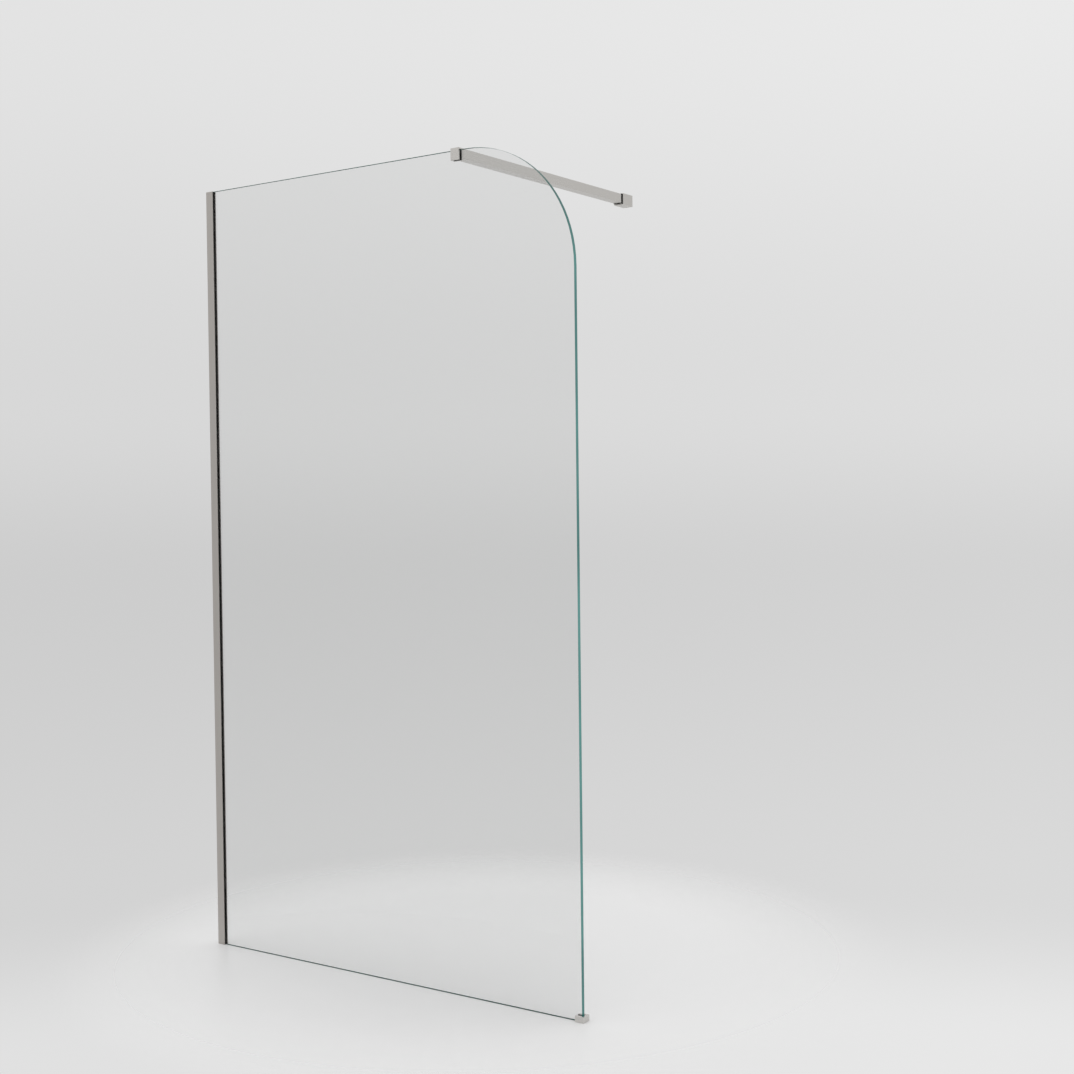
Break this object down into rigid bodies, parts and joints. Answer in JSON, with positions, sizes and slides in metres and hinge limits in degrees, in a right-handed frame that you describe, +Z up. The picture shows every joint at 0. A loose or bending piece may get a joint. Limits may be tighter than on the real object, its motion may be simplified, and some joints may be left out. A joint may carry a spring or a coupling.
{
  "type": "walk-in shower screen",
  "caption": "Fixed walk-in shower screen: clear glass with a large round top corner, in a wall profile, stayed by a square bar to the back wall and a floor foot.",
  "frame": {"origin": "where the left wall, the floor and the middle plane of the glass meet, at the foot of the profile's wall face", "axes": "+X along the glass away from the left wall, +Y from the glass to the back wall, +Z up"},
  "size_m": [1.1706, 0.775, 2.0066],
  "materials": {
    "clear_glass": "clear toughened glass with green polished edges",
    "nickel_aluminium": "brushed nickel on aluminium",
    "nickel_steel": "brushed nickel on steel",
    "black_rubber": "matte black rubber",
    "grey_rubber": "matte grey rubber",
    "plain_steel": "plain stainless steel",
    "white_nylon": "white nylon"
  },
  "bodies": {
    "wall_frame": {"wall_profile": "nickel_aluminium", "profile_gasket_outer": "black_rubber", "profile_gasket_inner": "black_rubber", "profile_packers": "white_nylon"},
    "screen": {"glass_panel": "clear_glass", "floor_foot": "nickel_steel", "foot_liner": "grey_rubber", "foot_pressure_plate": "plain_steel", "foot_grub_screws": "plain_steel"},
    "arm": {"glass_clamp": "nickel_steel", "clamp_liner": "black_rubber", "clamp_pressure_disc": "plain_steel", "clamp_pinch_screw": "plain_steel", "support_bar": "nickel_steel", "bar_lock_screw": "plain_steel"},
    "wall_bracket": {"wall_socket": "nickel_steel", "socket_seal": "black_rubber", "socket_wall_plate": "plain_steel", "socket_lock_screw": "plain_steel", "socket_lock_pad": "white_nylon", "socket_plate_screw": "plain_steel"}
  },
  "joints": [
    {"name": "panel_adjust", "type": "slide", "parent": "wall_frame", "child": "screen", "axis": [1, 0, 0], "range_m": [0, 0.01]},
    {"name": "arm_position", "type": "slide", "parent": "screen", "child": "arm", "axis": [1, 0, 0], "range_m": [-0.6, 0.01]},
    {"name": "bar_reach", "type": "slide", "parent": "arm", "child": "wall_bracket", "axis": [0, 1, 0], "range_m": [-0.003, 0.015]}
  ]
}
